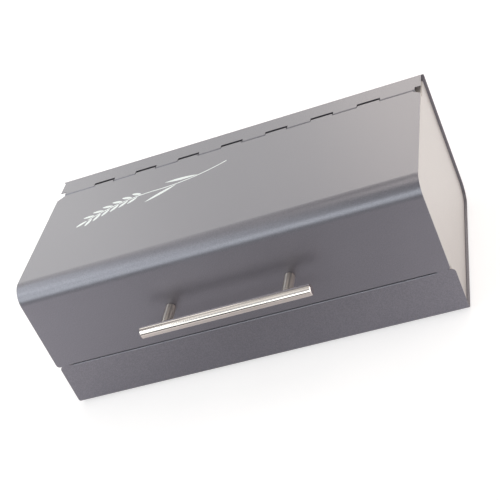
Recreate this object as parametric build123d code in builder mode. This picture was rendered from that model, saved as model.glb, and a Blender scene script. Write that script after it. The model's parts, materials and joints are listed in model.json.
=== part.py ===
from build123d import *

import os
from math import radians, sin, tan

# Bread box of painted sheet steel with a piano-hinged lid and a T-bar handle, in millimetres.
# Side view: depths are measured forward from the rear face, heights upward from the underside
# of the shell, which stands on four rubber feet. X runs to the right and the front faces -Y.

# Shell: one folded sheet that makes the strip behind the lid, the back, the bottom and the front
sheet = 0.8
body_width = 432
body_height = 157
front_depth = 216
front_height = 51
front_flange = 10
front_corner = 4.5
rear_top_bend = 4
rear_bottom_bend = 19
front_bottom_bend = 6
flange_bend = 1.6

# Lid: one sheet with a flat top, a wide bend and an upright front
lid_inset = 2.5
lid_overhang = 7.5
lid_rise = 5
lid_bend = 18
lid_flange = 7
lid_corner = 3.5
lid_rear_chamfer = 8.5

# Hinge: rolled knuckles of the lid between rolled tongues of the shell, on one hidden pin
pin_radius = 1.7
pin_clearance = 0.05
pin_depth = 33.2
curl_angle = 300
knuckle_count = 7
knuckle_width = 24
knuckle_pitch = 52.2
knuckle_gap = 0.8
slot_gap = 2
hinge_end_inset = 6.5
opening_angle = 105
swing_gap = 0.3

# End panels: shallow pressed trays, set in from the edges of the shell
rim = 3
panel_flange = 12
panel_edge_chamfer = 1.2
panel_corner_ease = 1.5
panel_step_bend = 3
panel_notch_bend = 1
panel_top_gap = 1
panel_notch_gap = 3
panel_hinge_gap = 0.9
panel_step_depth = 41
panel_step_run = 5
panel_rear_top_bend = 5
flange_end_gap = 1.5

# Bumpers on the end panels that the closed lid rests against
bumper_radius = 4
bumper_thickness = 1.4
bumper_gap = 0.3
bumper_height = 66

# Handle: a solid bar on two posts, each held by a screw from inside the lid
bar_radius = 6
bar_length = 180
bar_chamfer = 0.8
post_radius = 5.25
post_spacing = 128
post_base_chamfer = 0.4
handle_reach = 32
handle_height = 93.5
seat_gap = 0.05
spigot_radius = 2.5
spigot_depth = 6
spigot_end_gap = 0.5

# Handle screws and washers
screw_radius = 2
screw_engagement = 9
screw_bore_extra = 1.5
screw_head_radius = 4
screw_head_height = 2.6
screw_head_chamfer = 1
recess_width = 1
recess_length = 4.4
recess_depth = 1.5
lid_hole_clearance = 0.25
washer_radius = 4.75
washer_thickness = 0.8
washer_clearance = 0.15

# Feet
foot_height = 3
foot_radius = 7
foot_taper = 12
foot_side_inset = 26
foot_end_inset = 28

# Places worked out from the sizes above
half_sheet = sheet / 2
lid_width = body_width - 2 * lid_inset
lid_front_depth = front_depth + lid_overhang
lid_edge_height = front_height + lid_rise
bar_depth = lid_front_depth + handle_reach
overall_depth = bar_depth + bar_radius
rear_y = overall_depth / 2
base_z = foot_height

bore_radius = pin_radius + pin_clearance
curl_radius = bore_radius + half_sheet
knuckle_radius = bore_radius + sheet
pin_height = body_height - knuckle_radius
notch_width = knuckle_width + 2 * knuckle_gap
slot_depth = pin_depth - knuckle_radius - slot_gap
half_opening = radians(opening_angle / 2)
lid_notch_reach = knuckle_radius * tan(half_opening) + swing_gap / sin(radians(opening_angle))
lid_notch_depth = pin_depth + lid_notch_reach
hinge_half_width = lid_width / 2 - hinge_end_inset

panel_face = body_width / 2 - rim
panel_front_high = lid_front_depth - sheet - bumper_gap - bumper_thickness
panel_front_low = front_depth - sheet
panel_step_height = front_height + panel_notch_gap + panel_notch_bend
panel_top = body_height - sheet - panel_top_gap
panel_rear_top = pin_height - knuckle_radius - panel_hinge_gap
flange_reach = panel_face - panel_flange - flange_end_gap

cut_over = 2 * sheet
hinge_cut_height = 2 * knuckle_radius + cut_over


def at(depth, height):
    """Point of the side view, on the plane whose axes are Y and Z."""
    return (rear_y - depth, base_z + height)


def sheet_section(corners, bends, curl_turn):
    """Section of a folded sheet: its mid-line from the hinge on, and the curl round the pin."""
    start, second = Vector(*corners[0]), Vector(*corners[1])
    with BuildLine() as mid_line:
        FilletPolyline(*corners, radius=bends)
        JernArc(start, start - second, curl_radius, curl_turn)
    trace(mid_line.line, line_width=sheet)


def shell_section(flanged):
    """Section of the shell, with or without the inward flange on top of its front."""
    corners = [
        at(pin_depth, body_height - half_sheet),
        at(half_sheet, body_height - half_sheet),
        at(half_sheet, half_sheet),
        at(front_depth - half_sheet, half_sheet),
    ]
    bends = [bend - half_sheet for bend in (rear_top_bend, rear_bottom_bend, front_bottom_bend)]
    if flanged:
        corners.append(at(front_depth - half_sheet, front_height - half_sheet))
        corners.append(at(front_depth - front_flange, front_height - half_sheet))
        bends.append(flange_bend - half_sheet)
    else:
        corners.append(at(front_depth - half_sheet, front_height))
    sheet_section(corners, bends, curl_angle)


def lid_section(flanged):
    """Section of the lid, with or without the return flange under its front edge."""
    corners = [
        at(pin_depth, body_height - half_sheet),
        at(lid_front_depth - half_sheet, body_height - half_sheet),
    ]
    bends = [lid_bend - half_sheet]
    if flanged:
        corners.append(at(lid_front_depth - half_sheet, lid_edge_height + half_sheet))
        corners.append(at(lid_front_depth - lid_flange, lid_edge_height + half_sheet))
        bends.append(flange_bend - half_sheet)
    else:
        corners.append(at(lid_front_depth - half_sheet, lid_edge_height))
    sheet_section(corners, bends, -curl_angle)


def hinge_plane():
    """Plane above the hinge that its cuts go down from."""
    return Plane.XY.offset(base_z + body_height + cut_over)


def front_plane(depth):
    """Upright plane that faces forward at a depth, with X to the right and Z up."""
    return Plane.XZ.offset(depth - rear_y)


# The shell: flanged front between the end panels, plain front outside them
with BuildPart() as body_shell:
    with BuildSketch(Plane.YZ):
        shell_section(flanged=True)
    extrude(amount=flange_reach, both=True)
    with BuildSketch(Plane.YZ.offset(flange_reach), Plane.YZ.offset(-body_width / 2)):
        shell_section(flanged=False)
    extrude(amount=body_width / 2 - flange_reach)

    # Notches for the lid's knuckles, and the free ends of the hinge
    slot_run = pin_depth + knuckle_radius + cut_over - slot_depth
    with BuildSketch(hinge_plane()):
        with Locations((0, rear_y - slot_depth - slot_run / 2)):
            Rectangle(body_width + cut_over, slot_run)
            Rectangle(2 * hinge_half_width, slot_run, mode=Mode.SUBTRACT)
            with GridLocations(knuckle_pitch, 0, knuckle_count, 1):
                Rectangle(notch_width, slot_run)
    extrude(amount=-hinge_cut_height, mode=Mode.SUBTRACT)

    # The strip is as narrow as the lid from its bend on
    strip_run = slot_depth - rear_top_bend
    with BuildSketch(hinge_plane()):
        with Locations((0, rear_y - rear_top_bend - strip_run / 2)):
            Rectangle(body_width + cut_over, strip_run)
            Rectangle(lid_width, strip_run, mode=Mode.SUBTRACT)
    extrude(amount=-hinge_cut_height, mode=Mode.SUBTRACT)

    # Rounded upper corners of the front
    front_top = body_shell.edges().filter_by(Axis.Y).filter_by_position(
        Axis.Z, base_z + front_height - half_sheet, base_z + front_height + half_sheet
    )
    fillet(front_top.group_by(Axis.X)[0] + front_top.group_by(Axis.X)[-1], front_corner)

# The lid: return flange between the end panels, plain edge outside them
with BuildPart() as lid:
    with BuildSketch(Plane.YZ):
        lid_section(flanged=True)
    extrude(amount=flange_reach, both=True)
    with BuildSketch(Plane.YZ.offset(flange_reach), Plane.YZ.offset(-lid_width / 2)):
        lid_section(flanged=False)
    extrude(amount=lid_width / 2 - flange_reach)

    # Everything behind the notch line goes, apart from the knuckles
    notch_run = lid_notch_reach + knuckle_radius + cut_over
    with BuildSketch(hinge_plane()):
        with Locations((0, rear_y - lid_notch_depth + notch_run / 2)):
            Rectangle(lid_width + cut_over, notch_run)
            with GridLocations(knuckle_pitch, 0, knuckle_count, 1):
                Rectangle(knuckle_width, notch_run, mode=Mode.SUBTRACT)
    extrude(amount=-hinge_cut_height, mode=Mode.SUBTRACT)

    rear_edges = lid.edges().filter_by(Axis.Z).filter_by_position(
        Axis.Y, rear_y - lid_notch_depth - half_sheet, rear_y - lid_notch_depth + half_sheet
    )
    chamfer(rear_edges.group_by(Axis.X)[0] + rear_edges.group_by(Axis.X)[-1], lid_rear_chamfer)
    lower_edges = lid.edges().filter_by(Axis.Y).filter_by_position(
        Axis.Z, base_z + lid_edge_height - half_sheet, base_z + lid_edge_height + half_sheet
    )
    fillet(lower_edges.group_by(Axis.X)[0] + lower_edges.group_by(Axis.X)[-1], lid_corner)

    with BuildSketch(front_plane(lid_front_depth)):
        with Locations((0, base_z + handle_height)):
            with GridLocations(post_spacing, 0, 2, 1):
                Circle(screw_radius + lid_hole_clearance)
    extrude(amount=-sheet, both=True, mode=Mode.SUBTRACT)

# Pressed end panel: a tray whose flange lies on the shell and follows the lid
with BuildPart() as side_panel_right:
    with BuildSketch(Plane.YZ.offset(panel_face)):
        with BuildLine():
            FilletPolyline(
                at(sheet, sheet),
                at(panel_front_low, sheet),
                at(panel_front_low, panel_step_height),
                at(panel_front_high, panel_step_height),
                at(panel_front_high, panel_top),
                at(panel_step_depth + panel_step_run, panel_top),
                at(panel_step_depth, panel_rear_top),
                at(sheet, panel_rear_top),
                radius=[
                    rear_bottom_bend - sheet + panel_corner_ease,
                    front_bottom_bend - sheet + panel_corner_ease,
                    panel_notch_bend,
                    panel_step_bend,
                    lid_bend - sheet,
                    panel_step_bend,
                    panel_step_bend,
                    panel_rear_top_bend,
                ],
                close=True,
            )
        make_face()
    extrude(amount=-panel_flange)
    chamfer(side_panel_right.faces().sort_by(Axis.X)[-1].edges(), panel_edge_chamfer)
    offset(amount=-sheet, openings=side_panel_right.faces().sort_by(Axis.X)[0])

with BuildPart() as side_panel_left:
    mirror(side_panel_right.part, about=Plane.YZ)

with BuildPart() as hinge_pin:
    with BuildSketch(Plane.YZ):
        with Locations(at(pin_depth, pin_height)):
            Circle(pin_radius)
    extrude(amount=hinge_half_width, both=True)

with BuildPart() as handle_bar:
    with BuildSketch(Plane.YZ):
        with Locations(at(bar_depth, handle_height)):
            Circle(bar_radius)
    extrude(amount=bar_length / 2, both=True)
    chamfer(handle_bar.edges().filter_by(GeomType.CIRCLE), bar_chamfer)
    bar_rear = (0, rear_y - bar_depth + bar_radius, base_z + handle_height)
    with Locations(Plane(bar_rear, x_dir=(1, 0, 0), z_dir=(0, 1, 0))):
        with GridLocations(post_spacing, 0, 2, 1):
            Hole(spigot_radius + seat_gap, depth=spigot_depth + spigot_end_gap)


def handle_post(x):
    """One post: coped to the bar, with a spigot into the bar and a bore for the screw."""
    with BuildPart() as post:
        with BuildSketch(front_plane(lid_front_depth)):
            with Locations((x, base_z + handle_height)):
                Circle(post_radius)
        extrude(amount=handle_reach)
        chamfer(post.edges().group_by(Axis.Y)[-1], post_base_chamfer)
        with BuildSketch(Plane.YZ.offset(x)):
            with Locations(at(bar_depth, handle_height)):
                Circle(bar_radius + seat_gap)
        extrude(amount=2 * post_radius, both=True, mode=Mode.SUBTRACT)
        with BuildSketch(front_plane(bar_depth - 2 * bar_radius)):
            with Locations((x, base_z + handle_height)):
                Circle(spigot_radius)
        extrude(amount=bar_radius + spigot_depth)
        with BuildSketch(front_plane(lid_front_depth)):
            with Locations((x, base_z + handle_height)):
                Circle(screw_radius + seat_gap)
        extrude(amount=screw_engagement + screw_bore_extra, mode=Mode.SUBTRACT)
    return post


def handle_screw(x):
    """Pan-head screw with a cross recess, its head on the washer inside the lid."""
    head_depth = lid_front_depth - sheet - washer_thickness
    with BuildPart() as screw:
        with BuildSketch(front_plane(head_depth)):
            with Locations((x, base_z + handle_height)):
                Circle(screw_head_radius)
        extrude(amount=-screw_head_height)
        chamfer(screw.edges().group_by(Axis.Y)[-1], screw_head_chamfer)
        with BuildSketch(front_plane(head_depth)):
            with Locations((x, base_z + handle_height)):
                Circle(screw_radius)
        extrude(amount=washer_thickness + sheet + screw_engagement)
        with BuildSketch(front_plane(head_depth - screw_head_height)):
            with Locations((x, base_z + handle_height)):
                Rectangle(recess_length, recess_width)
                Rectangle(recess_width, recess_length)
        extrude(amount=recess_depth, mode=Mode.SUBTRACT)
    return screw


def handle_washer(x):
    """Flat washer between the screw head and the lid."""
    with BuildPart() as washer:
        with BuildSketch(front_plane(lid_front_depth - sheet - washer_thickness)):
            with Locations((x, base_z + handle_height)):
                Circle(washer_radius)
                Circle(screw_radius + washer_clearance, mode=Mode.SUBTRACT)
        extrude(amount=washer_thickness)
    return washer


def lid_bumper(side):
    """Low round bumper on the front flange of an end panel."""
    with BuildPart() as bumper:
        with BuildSketch(front_plane(panel_front_high)):
            with Locations((side * (panel_face - panel_flange / 2), base_z + bumper_height)):
                Circle(bumper_radius)
        extrude(amount=bumper_thickness)
    return bumper


def foot(side, depth):
    """Tapered rubber foot, stuck to the underside of the shell."""
    with BuildPart() as pad:
        with BuildSketch(Plane.XY.offset(base_z)):
            with Locations((side * (body_width / 2 - foot_end_inset), rear_y - depth)):
                Circle(foot_radius)
        extrude(amount=-foot_height, taper=foot_taper)
    return pad


pieces = {
    "body_shell": body_shell,
    "side_panel_left": side_panel_left,
    "side_panel_right": side_panel_right,
    "lid": lid,
    "hinge_pin": hinge_pin,
    "handle_bar": handle_bar,
}
for side_name, side in (("left", -1), ("right", 1)):
    post_x = side * post_spacing / 2
    pieces[f"handle_post_{side_name}"] = handle_post(post_x)
    pieces[f"handle_screw_{side_name}"] = handle_screw(post_x)
    pieces[f"handle_washer_{side_name}"] = handle_washer(post_x)
    pieces[f"lid_bumper_{side_name}"] = lid_bumper(side)
    pieces[f"foot_front_{side_name}"] = foot(side, front_depth - foot_side_inset)
    pieces[f"foot_rear_{side_name}"] = foot(side, foot_side_inset)

os.makedirs("parts", exist_ok=True)
for name, piece in pieces.items():
    piece.part.label = name
    export_step(piece.part, f"parts/{name}.step")
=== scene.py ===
# %% [markdown]
# # A bread box of painted sheet steel, dressed for the camera
#
# The box comes ready built as solids at real size: a folded shell, two pressed end panels, a lid
# on a rolled hinge and a steel bar handle. This lesson gives each of them its finish, prints the
# ornament on the lid, and lights and frames the whole as a small product shot.
#
# All numbers are in metres unless a name says otherwise. X runs to the right along the hinge,
# Y runs to the back and Z runs up. The box stands on the plane Z = 0.

# %% Load the model as the fixed frame
import json
from math import cos, pi, radians, sin

import bmesh
import bpy
from mathutils import Matrix, Vector


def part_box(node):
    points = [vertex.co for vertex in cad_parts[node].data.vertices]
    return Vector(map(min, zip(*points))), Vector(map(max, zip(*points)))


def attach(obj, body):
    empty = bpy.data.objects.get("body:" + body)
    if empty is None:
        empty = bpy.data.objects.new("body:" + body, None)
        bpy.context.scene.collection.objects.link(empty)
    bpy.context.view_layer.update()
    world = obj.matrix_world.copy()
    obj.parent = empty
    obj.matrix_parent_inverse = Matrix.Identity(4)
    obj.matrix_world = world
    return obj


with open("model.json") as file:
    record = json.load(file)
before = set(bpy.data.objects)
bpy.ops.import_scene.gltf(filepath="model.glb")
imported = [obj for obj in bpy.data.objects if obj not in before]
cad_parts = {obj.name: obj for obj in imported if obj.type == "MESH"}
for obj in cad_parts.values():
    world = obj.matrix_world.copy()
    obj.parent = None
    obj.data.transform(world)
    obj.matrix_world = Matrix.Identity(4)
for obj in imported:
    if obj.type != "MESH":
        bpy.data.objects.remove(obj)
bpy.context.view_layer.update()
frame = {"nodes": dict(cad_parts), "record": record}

nodes = frame["nodes"]
print("pieces in the frame:", ", ".join(sorted(nodes)))

# %% [markdown]
# ## Helpers
#
# Colours are written the way a paint chart or a web page gives them, as hex codes, but a shader
# wants linear light. One function turns the first into the second. The next adds a shader node:
# a value that is a socket is linked, and any other value is typed in. On these two stand the steps
# that nearly every finish repeats: noise of a real size, a ramp from one level to another, a blend
# of two colours, and a pattern that varies the shine or raises a relief. With them a material
# reads as a short list of what it is made of.

# %% Colour and node helpers
MM = 0.001


def colour(code):
    """Linear RGBA of an sRGB hex code such as #8c8c8f."""
    channels = [int(code[i:i + 2], 16) / 255 for i in (1, 3, 5)]
    return [c / 12.92 if c <= 0.04045 else ((c + 0.055) / 1.055) ** 2.4 for c in channels] + [1.0]


def add_node(tree, kind, settings=None, inputs=None):
    """Adds a shader node, sets its properties, and fills or links its inputs."""
    node = tree.nodes.new("ShaderNode" + kind)
    for name, value in (settings or {}).items():
        setattr(node, name, value)
    for name, value in (inputs or {}).items():
        if isinstance(value, bpy.types.NodeSocket):
            tree.links.new(value, node.inputs[name])
        else:
            node.inputs[name].default_value = value
    return node


def noise(tree, place, size, detail):
    """Noise with spots of about one size, and as many octaves of finer ones as detail says."""
    inputs = {"Vector": place, "Scale": 1 / size, "Detail": detail}
    return add_node(tree, "TexNoise", inputs=inputs).outputs["Fac"]


def ramp(tree, value, start, end, first=0.0, last=1.0):
    """Goes from first to last while a value goes from start to end."""
    inputs = {"Value": value, "From Min": start, "From Max": end, "To Min": first, "To Max": last}
    return add_node(tree, "MapRange", inputs=inputs).outputs["Result"]


def blend(tree, factor, first, last):
    """A colour between two hex codes."""
    inputs = {"Factor": factor, "A": colour(first), "B": colour(last)}
    return add_node(tree, "Mix", {"data_type": "RGBA"}, inputs).outputs["Result"]


print("#808080 in linear light:", [round(channel, 3) for channel in colour("#808080")])

# %% Helpers for a whole surface
def new_material(name, inputs):
    """A material with a Principled surface and its Object coordinates."""
    material = bpy.data.materials.new(name)
    material.use_nodes = True
    tree = material.node_tree
    surface = tree.nodes["Principled BSDF"]
    for socket, value in inputs.items():
        surface.inputs[socket].default_value = value
    place = add_node(tree, "TexCoord").outputs["Object"]
    return material, tree, surface, place


def vary_shine(tree, surface, pattern, roughness, swing):
    """Lets a pattern move the roughness up and down by a swing."""
    shine = ramp(tree, pattern, 0.0, 1.0, roughness - swing, roughness + swing)
    tree.links.new(shine, surface.inputs["Roughness"])


def raise_relief(tree, surface, pattern, height, strength=1.0):
    """Lets a pattern raise the surface, and gives back the normal that this makes."""
    inputs = {"Height": pattern, "Strength": strength, "Distance": height}
    normal = add_node(tree, "Bump", inputs=inputs).outputs["Normal"]
    tree.links.new(normal, surface.inputs["Normal"])
    return normal


# %% [markdown]
# ## Silver-grey powder coat
#
# Powder is sprayed on the steel dry and baked until it flows. Metal flakes in it give a broad
# sheen, and the clear resin over them gives a second, tighter one. Close up the film isn't quite
# flat: it has a faint orange peel about 2 mm across, and the flakes sparkle as fine grain.
#
# A photograph of a painted panel would give this too, but only at one scale. Noise in real
# millimetres works on every side of the box and never repeats.

# %% Powder coat as a function, so that both paints share it
PEEL_SIZE = 2.0 * MM
PEEL_HEIGHT = 0.004 * MM
FLAKE_SIZE = 0.8 * MM       # real flakes are far smaller, drawn coarse enough to show
CLOUD_SIZE = 70 * MM        # slow change of film thickness across a panel
FLAKE_SHARE = 0.85          # the rest of the change of shade is cloud
SHADE_SPAN = (0.4, 0.6)     # the part of the noise that goes from the dark shade to the light one
PAINT_SWING = 0.03
RESIN_IOR = 1.5


def powder_coat(name, dark, light, metallic, roughness, coat, coat_roughness):
    """Flaked powder coat between two close shades."""
    material, tree, surface, place = new_material(name, {
        "Metallic": metallic,
        "IOR": RESIN_IOR,
        "Coat Weight": coat,
        "Coat IOR": RESIN_IOR,
        "Coat Roughness": coat_roughness,
    })
    cloud = noise(tree, place, CLOUD_SIZE, detail=3.0)
    flake = noise(tree, place, FLAKE_SIZE, detail=1.0)
    peel = noise(tree, place, PEEL_SIZE, detail=2.0)
    mix = add_node(tree, "Mix", {"data_type": "FLOAT"}, {"Factor": FLAKE_SHARE, "A": cloud, "B": flake})
    shade = ramp(tree, mix.outputs["Result"], *SHADE_SPAN)
    tree.links.new(blend(tree, shade, dark, light), surface.inputs["Base Color"])
    vary_shine(tree, surface, cloud, roughness, PAINT_SWING)
    normal = raise_relief(tree, surface, peel, PEEL_HEIGHT)
    tree.links.new(normal, surface.inputs["Coat Normal"])
    return material


silver_paint = powder_coat(
    "silver_powder_coat", "#817e87", "#8e8b94",
    metallic=0.93, roughness=0.39, coat=0.4, coat_roughness=0.32)
# The end panels' coat is paler than the lid's. Partly that is their own paler paint, and partly it is
# painted light that stands in for the bright lamp on their side.
panel_paint = powder_coat(
    "pale_powder_coat_and_painted_light", "#c5bdb9", "#cec6c2",
    metallic=0.2, roughness=0.45, coat=0.5, coat_roughness=0.3)
print("paints:", silver_paint.name, panel_paint.name)

# %% [markdown]
# ## Brushed and turned steel
#
# The bar is stainless steel, brushed along its length, so the lamps of the room lie on it as
# stripes. The posts were turned on a lathe. The tool leaves fine rings round them, and each ring
# throws light up and down the post. So lamps that a smooth post could never mirror towards the
# camera show on it as two soft stripes, with a dark line between them.
#
# Real grooves would take millions of faces. Noise that is stretched along the scratches gives their
# grain and relief, and on the posts an anisotropic surface spreads the light.

# %% Steel with fine scratches
SCRATCH_WIDTH = 0.15 * MM
SCRATCH_LENGTH = 25 * MM
SCRATCH_HEIGHT = 0.004 * MM
SCRATCH_STRENGTH = 0.6
STEEL_SWING = 0.04


def brushed_steel(name, dark, light, roughness, stretch):
    """Steel with fine scratches, as long along X, Y and Z as the stretch says."""
    material, tree, surface, place = new_material(name, {"Metallic": 1.0})
    scale = [1 / length for length in stretch]
    stretched = add_node(tree, "Mapping", inputs={"Vector": place, "Scale": scale}).outputs["Vector"]
    scratch = noise(tree, stretched, size=1.0, detail=2.0)
    tree.links.new(blend(tree, scratch, dark, light), surface.inputs["Base Color"])
    vary_shine(tree, surface, scratch, roughness, STEEL_SWING)
    raise_relief(tree, surface, scratch, SCRATCH_HEIGHT, SCRATCH_STRENGTH)
    return material


along_x = (SCRATCH_LENGTH, SCRATCH_WIDTH, SCRATCH_WIDTH)
round_y = (SCRATCH_LENGTH, SCRATCH_WIDTH, SCRATCH_LENGTH)
bar_steel = brushed_steel("brushed_stainless_bar", "#e4dad6", "#f3e9e5", roughness=0.1, stretch=along_x)
post_steel = brushed_steel("turned_stainless_post", "#b4aaa5", "#cfc5bf", roughness=0.33, stretch=round_y)
zinc = brushed_steel("zinc_plated_steel", "#9d9fa2", "#b5b7b9", roughness=0.35, stretch=along_x)
print("steels:", bar_steel.name, post_steel.name, zinc.name)

# %% The lathe's rings on the posts
# The tangent runs round the post. A quarter turn makes the shine spread along it instead.
QUARTER_TURN = 0.25
tree = post_steel.node_tree
surface = tree.nodes["Principled BSDF"]
surface.inputs["Anisotropic"].default_value = 1.0
surface.inputs["Anisotropic Rotation"].default_value = QUARTER_TURN
rings = add_node(tree, "Tangent", {"direction_type": "RADIAL", "axis": "Y"})
tree.links.new(rings.outputs["Tangent"], surface.inputs["Tangent"])
print("rings on:", post_steel.name)

# %% [markdown]
# ## Rubber
#
# The feet are black moulded rubber. The two pads that the lid falls on are soft and nearly clear.
# Rubber is dyed through, so its colour is even, and only the matt grain of the mould shows. That
# grain needs no faces either: noise varies the shine and gives a slight relief.

# %% Rubber as a function, for the feet and the pads
MOULD_GRAIN = 0.4 * MM
MOULD_RELIEF = 0.02 * MM
RUBBER_SWING = 0.08
RUBBER_IOR = 1.52


def rubber(name, code, roughness):
    """Moulded rubber with a fine matt grain."""
    material, tree, surface, place = new_material(name, {"Base Color": colour(code), "IOR": RUBBER_IOR})
    grain = noise(tree, place, MOULD_GRAIN, detail=3.0)
    vary_shine(tree, surface, grain, roughness, RUBBER_SWING)
    raise_relief(tree, surface, grain, MOULD_RELIEF)
    return material


black_rubber = rubber("moulded_black_rubber", "#1b1b1c", roughness=0.7)
clear_rubber = rubber("moulded_clear_rubber", "#cfcfca", roughness=0.35)
print("rubbers:", black_rubber.name, clear_rubber.name)

# %% [markdown]
# ## Dressing the pieces
#
# The model's own record says which finish each piece has, so the pieces can be dressed in one loop
# and none is forgotten. The pieces keep their shape and place and only get a material. Stainless
# steel is the one finish that comes in two kinds here, brushed for the bar and turned for the posts.

# %% Dress the pieces
finishes = {
    "silver_paint": silver_paint,
    "panel_paint": panel_paint,
    "steel": zinc,
    "clear_rubber": clear_rubber,
    "black_rubber": black_rubber,
}
for part in frame["record"]["subparts"]:
    name, slot = part["node"], part["material_slot"]
    if slot == "stainless":
        finish = bar_steel if name == "handle_bar" else post_steel
    else:
        finish = finishes[slot]
    nodes[name].data.materials.clear()
    nodes[name].data.materials.append(finish)
    print(f"{name}: {finish.name}")

# %% [markdown]
# ## The ornament on the lid
#
# A stencil lies on the lid and white enamel ink is pulled through it, so the print is a film of
# even thickness with crisp edges. An image laid over the paint would be quick, but its edges would
# blur in a close view. Here each stroke is a thin real shape, drawn once on the flat and copied: an
# ear of wheat, with a curved stem, two leaves and pairs of grains. A stencil can't hold an island,
# so all the shapes are solid and bare paint stays between them.
#
# The stem is a short strip whose end is spun round two centres, so that it sways to one side and
# back.

# %% Sizes of the ear
STROKE = 1.6 * MM
STROKE_GAP = 0.5 * MM           # bare paint between two strokes
INK_THICKNESS = 0.03 * MM
STEM_RADII = (150 * MM, 130 * MM)
STEM_TURNS = (radians(31), radians(36))
STEM_STEPS = 20
EAR_START = Vector((-2 * MM, 62 * MM))      # the stem's cut end, behind the middle of the lid
EAR_TURN = radians(210)                     # from there the ear points to the left and forward
WELD = 0.01 * MM
first_arc, second_arc = (radius * turn for radius, turn in zip(STEM_RADII, STEM_TURNS))
stem_length = first_arc + second_arc
print(f"stem {stem_length / MM:.0f} mm long")


def stem_point(distance):
    """Place and heading on the middle line of the stem, which starts at the origin along X."""
    radius = STEM_RADII[0]
    if distance <= first_arc:
        heading = -distance / radius
        return Vector((radius * sin(-heading), radius * (cos(heading) - 1))), heading
    joint, heading = stem_point(first_arc)
    radius = STEM_RADII[1]
    centre = joint + radius * Vector((-sin(heading), cos(heading)))
    heading += (distance - first_arc) / radius
    return centre + radius * Vector((sin(heading), -cos(heading))), heading


# %% The stem, spun in edit mode
def select_end(thing, place):
    """Selects the edge of a flat strip that lies at a place, and nothing else."""
    bpy.ops.mesh.select_mode(type="EDGE")
    bpy.ops.mesh.select_all(action="DESELECT")
    strip = bmesh.from_edit_mesh(thing.data)
    nearest = min(
        strip.edges,
        key=lambda edge: ((edge.verts[0].co + edge.verts[1].co) / 2 - place).length)
    nearest.select_set(True)
    bmesh.update_edit_mesh(thing.data)


bpy.ops.object.select_all(action="DESELECT")
bpy.ops.mesh.primitive_plane_add(size=STROKE, location=(-STROKE / 2, 0, 0))
stem = bpy.context.active_object
stem.name = "lid_print"
bpy.ops.object.transform_apply()
bpy.ops.object.mode_set(mode="EDIT")
arcs = ((0, STEM_RADII[0], -STEM_TURNS[0]), (first_arc, STEM_RADII[1], STEM_TURNS[1]))
for start, radius, turn in arcs:
    place, heading = stem_point(start)
    side = 1 if turn > 0 else -1
    centre = place + side * radius * Vector((-sin(heading), cos(heading)))
    select_end(stem, place.to_3d())
    # A positive angle spins clockwise as seen from the axis' tip, the opposite of the usual sense
    bpy.ops.mesh.spin(steps=STEM_STEPS, angle=-turn, center=centre.to_3d(), axis=(0, 0, 1))
bpy.ops.mesh.select_all(action="SELECT")
bpy.ops.mesh.remove_doubles(threshold=WELD)
bpy.ops.object.mode_set(mode="OBJECT")
tip = max((vertex.co for vertex in stem.data.vertices), key=lambda corner: corner.x)
print("stem ends at", [round(c / MM, 1) for c in tip], "mm")

# %% [markdown]
# A grain and a leaf are both pointed ovals. A disc is cut along a chord, the segment that is left
# is mirrored, and the two halves become one face. Copies of them take their place and turn from the
# stem's own curve, in pairs whose second grain sits a little lower, as on a real ear.

# %% A pointed oval
DISC_CORNERS = 128
GRAIN_LENGTH, GRAIN_WIDTH = 15 * MM, 4.2 * MM
LEAF_LENGTH, LEAF_WIDTH = 40 * MM, 5 * MM


def pointed_oval(name, length, width):
    """An oval that starts at the origin and points along X."""
    radius = (length ** 2 + width ** 2) / (4 * width)
    bpy.ops.object.select_all(action="DESELECT")
    bpy.ops.mesh.primitive_circle_add(
        vertices=DISC_CORNERS, radius=radius, fill_type="NGON", location=(0, width / 2 - radius, 0))
    oval = bpy.context.active_object
    oval.name = name
    bpy.ops.object.transform_apply()
    bpy.ops.object.mode_set(mode="EDIT")
    bpy.ops.mesh.bisect(plane_co=(0, 0, 0), plane_no=(0, 1, 0), clear_inner=True)
    bpy.ops.object.mode_set(mode="OBJECT")
    halves = oval.modifiers.new("other_half", "MIRROR")
    halves.use_axis = (False, True, False)
    bpy.ops.object.modifier_apply(modifier="other_half")
    bpy.ops.object.mode_set(mode="EDIT")
    bpy.ops.mesh.select_all(action="SELECT")
    bpy.ops.mesh.normals_make_consistent(inside=False)
    bpy.ops.mesh.dissolve_faces()
    bpy.ops.transform.translate(value=(length / 2, 0, 0))
    bpy.ops.object.mode_set(mode="OBJECT")
    return oval


grain = pointed_oval("grain", GRAIN_LENGTH, GRAIN_WIDTH)
leaf = pointed_oval("leaf", LEAF_LENGTH, LEAF_WIDTH)
print("corners of a grain:", len(grain.data.vertices), "of a leaf:", len(leaf.data.vertices))

# %% Grains in pairs, a grain at the tip and two leaves
GRAIN_PAIRS = 6
GRAIN_STEP = 11 * MM
FIRST_PAIR = 0.45 * GRAIN_STEP      # how far the first pair lies below the stem's end
PAIR_LAG = 0.4 * GRAIN_STEP         # how far the second grain of a pair lies below the first
GRAIN_SPREAD = radians(33)
LEAF_SPREAD = radians(22)
LEAF_PLACES = ((0.35, 1), (0.2, -1))    # share of the stem's length, and the side


def copy_to(shape, distance, side, spread=0.0):
    """A copy with its own mesh, on one side of the stem and spread away from it, or on its end."""
    place, heading = stem_point(distance)
    offset = side * (STROKE / 2 + STROKE_GAP) * Vector((-sin(heading), cos(heading)))
    twin = shape.copy()
    twin.data = shape.data.copy()
    bpy.context.collection.objects.link(twin)
    turn = Matrix.Rotation(heading + side * spread, 4, "Z")
    twin.data.transform(Matrix.Translation((place + offset).to_3d()) @ turn)
    return twin


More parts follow.
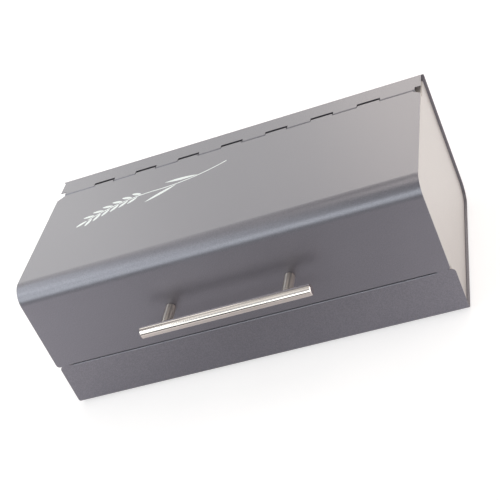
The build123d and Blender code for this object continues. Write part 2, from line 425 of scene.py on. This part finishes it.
strokes = [copy_to(grain, stem_length + STROKE_GAP, side=0)]
for pair in range(GRAIN_PAIRS):
    reach = stem_length - FIRST_PAIR - pair * GRAIN_STEP
    strokes.append(copy_to(grain, reach, 1, GRAIN_SPREAD))
    strokes.append(copy_to(grain, reach - PAIR_LAG, -1, GRAIN_SPREAD))
for share, side in LEAF_PLACES:
    strokes.append(copy_to(leaf, share * stem_length, side, LEAF_SPREAD))
bpy.data.objects.remove(grain)
bpy.data.objects.remove(leaf)
print("strokes beside the stem:", len(strokes))

# %% [markdown]
# The strokes become one mesh, because the print is one layer of ink. It is laid on the lid flat, and
# Solidify then thickens it upwards, so its underside stays on the paint. It rides on the lid, so
# it turns with the hinge.

# %% Join the strokes, lay them on the lid and give them the film's thickness
bpy.ops.object.select_all(action="DESELECT")
for stroke in strokes + [stem]:
    stroke.select_set(True)
bpy.context.view_layer.objects.active = stem
bpy.ops.object.join()
lid_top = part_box("lid")[1][2]
stem.data.transform(Matrix.Translation((*EAR_START, lid_top)) @ Matrix.Rotation(EAR_TURN, 4, "Z"))
film = stem.modifiers.new("film", "SOLIDIFY")
film.thickness = INK_THICKNESS
film.offset = 1
bpy.ops.object.modifier_apply(modifier="film")
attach(stem, "lid")
for word, pick in (("low", min), ("high", max)):
    corner = [pick(vertex.co[axis] for vertex in stem.data.vertices) for axis in range(3)]
    print(word, "corner of the print:", [round(c / MM, 2) for c in corner], "mm")

# %% [markdown]
# ## White enamel ink
#
# Screen-printed enamel is a smooth film with a soft shine, white with a trace of blue. A flat white
# would look cut from paper. Noise as fine as the screen's weave varies the shine and leaves a
# trace of relief, and a thin clear coat catches the lamps as real enamel does.

# %% Ink on the ornament
WEAVE = 0.8 * MM
WEAVE_RELIEF = 0.004 * MM
INK_ROUGHNESS, INK_SWING = 0.475, 0.075
ink, tree, surface, place = new_material("white_enamel_ink", {
    "Base Color": colour("#f1f4f7"),
    "IOR": RESIN_IOR,
    "Coat Weight": 0.5,
    "Coat Roughness": 0.3,
})
weave = noise(tree, place, WEAVE, detail=3.0)
vary_shine(tree, surface, weave, INK_ROUGHNESS, INK_SWING)
raise_relief(tree, surface, weave, WEAVE_RELIEF)
stem.data.materials.clear()
stem.data.materials.append(ink)
print("ink:", ink.name)

# %% [markdown]
# ## The floor
#
# A product shot stands on a roll of white paper. Lamps strong enough to make the paper blaze would
# wash out the box, so the paper gets a glow of its own instead. Light Path tells the shader what
# kind of ray has arrived, so the camera sees one share of the glow, the mirroring paint and steel
# see another, and the light that the paper throws back on the box has none of it. Where the box
# keeps the lamps off, only the glow is left, so its soft shadow stays.
#
# Two more things are painted into the paper, for the mirrors only. Some 40 cm before the box it
# turns dark for them, a painted reflection that the bar shows as a thin dark line along its middle.
# Just before the box, where the camera on its stand would shade the paper, the glow that the
# mirrors see fades: a painted shade, which makes the upright front darkest at its middle. Both are
# made in the paper's material, as functions of the place on the floor.

# %% The sheet itself
FLOOR_SIZE = 14.0
bpy.ops.object.select_all(action="DESELECT")
bpy.ops.mesh.primitive_plane_add(size=FLOOR_SIZE, location=(0, 0, 0))
floor = bpy.context.active_object
floor.name = "floor"
print("floor:", FLOOR_SIZE, "m wide")

# %% What the camera and the mirrors see of the paper
CAMERA_GLOW, FAR_GLOW = 0.65, 1.0
LIT_REACH = (0.6, 2.0)          # the lamps fail between these, and a stronger glow makes up for it
PAINTED_REFLECTION_EDGE = (-0.65, -0.45)     # Y where the mirrors' painted dark reflection gives way to the paper
# Painted shade: the glow that the mirrors see fades towards this place, where the camera would shade the
# paper
SHADE_PLACE = (-0.02, -0.25, 0)
SHADE_REACH = 0.5
SHADE_GLOW, MIRROR_GLOW = 0.0, 0.78
# The second tint is a painted reflection: only the mirrors see it, on the floor beyond the edge
PAPER_TINT, PAINTED_REFLECTION_TINT = "#bfbabb", "#2a2a2a"
PAPER_ROUGHNESS = 0.9
print("glow for the camera:", CAMERA_GLOW, "to", FAR_GLOW, "for the mirrors:", SHADE_GLOW, "to", MIRROR_GLOW)


# %% Helpers for arithmetic and rays
def calculate(tree, operation, *values):
    """One step of arithmetic on shader values."""
    return add_node(tree, "Math", {"operation": operation}, dict(enumerate(values))).outputs["Value"]


def kinds_of_ray(tree):
    """Two switches: one is on for what the camera sees, the other for what a mirror sees."""
    ray = add_node(tree, "LightPath").outputs
    seen = calculate(tree, "MAXIMUM", ray["Is Camera Ray"], ray["Is Transmission Ray"])
    return seen, ray["Is Glossy Ray"]


# %% White paper
paper, tree, surface, place = new_material("white_paper", {
    "Roughness": PAPER_ROUGHNESS,
    "Specular IOR Level": 0.0,
    "Emission Color": colour("#ffffff"),
})
seen, mirrored = kinds_of_ray(tree)
span = add_node(tree, "VectorMath", {"operation": "DISTANCE"}, {0: place, 1: SHADE_PLACE})
away = span.outputs["Value"]
direct = calculate(tree, "MULTIPLY", seen, ramp(tree, away, *LIT_REACH, CAMERA_GLOW, FAR_GLOW))
# For the mirrors only, the floor beyond the edge gets the dark tint and no glow: a painted reflection
depth = add_node(tree, "SeparateXYZ", inputs={"Vector": place}).outputs["Y"]
dark = calculate(tree, "MULTIPLY", ramp(tree, depth, *PAINTED_REFLECTION_EDGE, 1.0, 0.0), mirrored)
bright = calculate(tree, "SUBTRACT", mirrored, dark)
# Painted shade in the mirrors' glow, deepest at the place where the camera would shade the paper
mirror_glow_with_painted_shade = ramp(tree, away, 0.0, SHADE_REACH, SHADE_GLOW, MIRROR_GLOW)
glow = calculate(tree, "MULTIPLY_ADD", bright, mirror_glow_with_painted_shade, direct)
tree.links.new(blend(tree, dark, PAPER_TINT, PAINTED_REFLECTION_TINT), surface.inputs["Base Color"])
tree.links.new(glow, surface.inputs["Emission Strength"])
floor.data.materials.append(paper)
print("paper:", paper.name)

# %% [markdown]
# ## Light
#
# Satin paint is a blurred mirror, so the room is half of its look. Seen from the camera, the lid's
# top mirrors the wall behind the box, the bend sweeps from there over the ceiling to the front, and
# the upright front mirrors the floor. A softbox stands wherever the paint should brighten: three in
# a row behind the box, dimmest in the middle, a few overhead, and the strongest ones high on the
# left, whose reflection is the bright streak along the bend. Three low ones at the front fill the
# foot of the bend and lay the bright band on the bar. One on the right lights the end panel. Cool
# light from the left and warm light from the right keep the greys from looking dead.
#
# One number says how bright each box is, where 1 is pure white in the picture.

# %% Softboxes
def softbox(name, centre, facing, width, height, level, code):
    """A rectangular lamp of even brightness."""
    lamp = bpy.data.lights.new(name, "AREA")
    lamp.shape = "RECTANGLE"
    lamp.size, lamp.size_y = width, height
    lamp.energy = level * pi * width * height
    lamp.color = colour(code)[:3]
    stand = bpy.data.objects.new(name, lamp)
    bpy.context.scene.collection.objects.link(stand)
    stand.location = centre
    stand.rotation_euler = Vector(facing).to_track_quat("-Z", "Y").to_euler()
    print(f"{name}: level {level}, {width} x {height} m")


COOL, NEUTRAL, WARM, CREAM = "#f4fffd", "#fdfff6", "#fffaec", "#fffbf6"
FORWARD, BACKWARD, LEFTWARD, DOWN, TILTED = (0, -1, 0), (0, 1, 0), (-1, 0, 0), (0, 0, -1), (0, 3, -4)

# Each has a centre, a way it faces, a width, a height, a level and a tint
softbox("rear_left_softbox", (-1.45, 1.7, 1.1), FORWARD, 1.1, 1.0, 1.65, NEUTRAL)
softbox("rear_middle_softbox", (-0.58, 1.7, 1.1), FORWARD, 0.65, 1.0, 1.12, NEUTRAL)
softbox("rear_right_softbox", (0.62, 1.7, 1.1), FORWARD, 1.75, 1.0, 2.0, WARM)
softbox("overhead_rear_left_softbox", (-1.1, 1.0, 1.7), DOWN, 1.0, 1.0, 1.0, NEUTRAL)
softbox("overhead_rear_right_softbox", (0.42, 1.0, 1.7), DOWN, 0.9, 1.0, 0.9, WARM)
softbox("overhead_left_softbox", (-1.15, 0.05, 1.6), DOWN, 0.6, 0.7, 2.6, COOL)
softbox("overhead_middle_softbox", (-0.45, 0.05, 1.6), DOWN, 0.4, 0.7, 0.3, NEUTRAL)
softbox("overhead_right_softbox", (0.28, 0.05, 1.6), DOWN, 0.76, 0.7, 1.75, WARM)
softbox("high_left_softbox", (-1.15, -0.6, 1.5), DOWN, 0.7, 0.5, 2.6, COOL)
softbox("high_middle_softbox", (-0.5, -0.6, 1.5), DOWN, 0.4, 0.5, 0.7, NEUTRAL)
softbox("tilted_left_softbox", (-1.15, -1.2, 1.5), TILTED, 0.7, 0.5, 3.8, COOL)
softbox("tilted_middle_softbox", (-0.6, -1.2, 1.5), TILTED, 0.4, 0.5, 0.5, COOL)
softbox("front_left_softbox", (-1.2, -1.6, 0.72), BACKWARD, 0.8, 1.1, 2.45, COOL)
softbox("front_middle_softbox", (-0.62, -1.6, 0.68), BACKWARD, 0.35, 0.8, 1.3, COOL)
softbox("front_right_softbox", (0.02, -1.6, 0.57), BACKWARD, 0.92, 0.8, 2.0, COOL)
softbox("right_softbox", (1.4, 0.0, 0.6), LEFTWARD, 1.2, 1.2, 1.75, CREAM)

# %% [markdown]
# Between the lamps the room itself is dim. The wall before the box is darker than the wall behind it
# and the ceiling, which keeps the upright front calm beside the brighter top. Where the camera
# looks past the floor, it sees the room white.

# %% The room
REAR_WALL, FRONT_WALL, CEILING = 0.3, 0.1, 0.3
WALL_TURN = (-0.5, 0.0)         # Y of a direction, from the front wall to the rear one
WALL_TOP = (0.1, 0.35)          # Z of a direction, from wall to ceiling

world = bpy.data.worlds.new("studio")
bpy.context.scene.world = world
world.use_nodes = True
tree = world.node_tree
direction = add_node(tree, "TexCoord").outputs["Generated"]
axes = add_node(tree, "SeparateXYZ", inputs={"Vector": direction}).outputs
wall = ramp(tree, axes["Y"], *WALL_TURN, FRONT_WALL, REAR_WALL)
room = ramp(tree, axes["Z"], *WALL_TOP, wall, CEILING)
seen = kinds_of_ray(tree)[0]
level = add_node(tree, "Mix", {"data_type": "FLOAT"}, {"Factor": seen, "A": room, "B": 1.0})
tree.links.new(level.outputs["Result"], tree.nodes["Background"].inputs["Strength"])
tree.nodes["Background"].inputs["Color"].default_value = colour("#ffffff")
print("room:", REAR_WALL, "behind the box,", FRONT_WALL, "before it,", CEILING, "at the ceiling")

# %% [markdown]
# ## The camera
#
# A long lens looks from the right front, 1.3 metres away and about 29 degrees up, so the box's
# parallel edges stay nearly parallel. The camera is rolled by 25 degrees, so the box climbs
# towards the right, as in many catalogue pictures. Angles are easier to picture than a
# position, so the camera is placed by them.

# %% Camera
AIM = Vector((-0.0042, 0.0208, 0.0705))
CAMERA_DISTANCE = 1.3319
CAMERA_AZIMUTH = radians(20.65)
CAMERA_ELEVATION = radians(28.65)
CAMERA_ROLL = radians(-25.384)
FOCAL_LENGTH, SENSOR_WIDTH = 89.64, 36      # in millimetres, as Blender asks
offset = Vector((
    sin(CAMERA_AZIMUTH) * cos(CAMERA_ELEVATION),
    -cos(CAMERA_AZIMUTH) * cos(CAMERA_ELEVATION),
    sin(CAMERA_ELEVATION),
))
lens = bpy.data.cameras.new("camera")
lens.lens = FOCAL_LENGTH
lens.sensor_width = SENSOR_WIDTH
camera = bpy.data.objects.new("camera", lens)
bpy.context.scene.collection.objects.link(camera)
facing = (-offset).to_track_quat("-Z", "Y").to_matrix() @ Matrix.Rotation(CAMERA_ROLL, 3, "Z")
camera.matrix_world = Matrix.Translation(AIM + CAMERA_DISTANCE * offset) @ facing.to_4x4()
bpy.context.scene.camera = camera
bpy.context.scene.view_settings.view_transform = "Standard"
print("camera at", [round(c, 3) for c in camera.matrix_world.translation])
